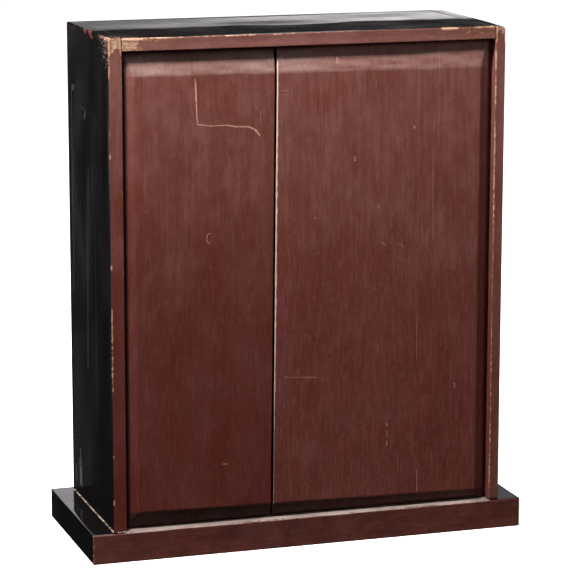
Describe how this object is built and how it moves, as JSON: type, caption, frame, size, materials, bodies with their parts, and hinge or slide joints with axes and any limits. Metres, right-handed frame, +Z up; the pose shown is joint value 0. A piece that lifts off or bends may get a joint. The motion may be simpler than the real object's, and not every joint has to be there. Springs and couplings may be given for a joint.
{
  "type": "altar cabinet",
  "caption": "Small house-altar cabinet: hollow lacquered wooden case on a wider plinth, panelled back with bevelled border, and a pair of hinged front doors.",
  "frame": {"origin": "on the floor, at the centre of the plinth's underside", "axes": "+Z up, -Y towards the doors, +Y towards the panelled back, +X towards the cabinet's own right side"},
  "size_m": [0.466, 0.187, 0.5333],
  "materials": {
    "black_lacquer": "glossy black lacquer on wood, with red-brown paint on the faces behind",
    "red_paint": "thin satin red-brown paint on wood, worn at the arrises",
    "brass": "aged satin brass"
  },
  "bodies": {
    "case": {"plinth": "black_lacquer", "side_board_right": "black_lacquer", "side_board_left": "black_lacquer", "top_board": "black_lacquer", "back_board_right": "red_paint", "back_board_middle": "red_paint", "back_board_left": "red_paint", "door_stop": "black_lacquer", "hinge_upper_right_case_leaf": "brass", "hinge_upper_right_pin": "brass", "hinge_lower_right_case_leaf": "brass", "hinge_lower_right_pin": "brass", "hinge_upper_left_case_leaf": "brass", "hinge_upper_left_pin": "brass", "hinge_lower_left_case_leaf": "brass", "hinge_lower_left_pin": "brass"},
    "right_door": {"door_right": "black_lacquer", "knob_right": "brass", "hinge_upper_right_door_leaf": "brass", "hinge_lower_right_door_leaf": "brass"},
    "left_door": {"door_left": "black_lacquer", "knob_left": "brass", "hinge_upper_left_door_leaf": "brass", "hinge_lower_left_door_leaf": "brass"}
  },
  "joints": [
    {"name": "right_door_hinge", "type": "hinge", "parent": "case", "child": "right_door", "pos_m": [0.1935, -0.08885, 0.2722], "axis": [0, 0, 1], "range_deg": [0, 170]},
    {"name": "left_door_hinge", "type": "hinge", "parent": "case", "child": "left_door", "pos_m": [-0.1935, -0.08885, 0.2722], "axis": [0, 0, -1], "range_deg": [0, 170]}
  ]
}
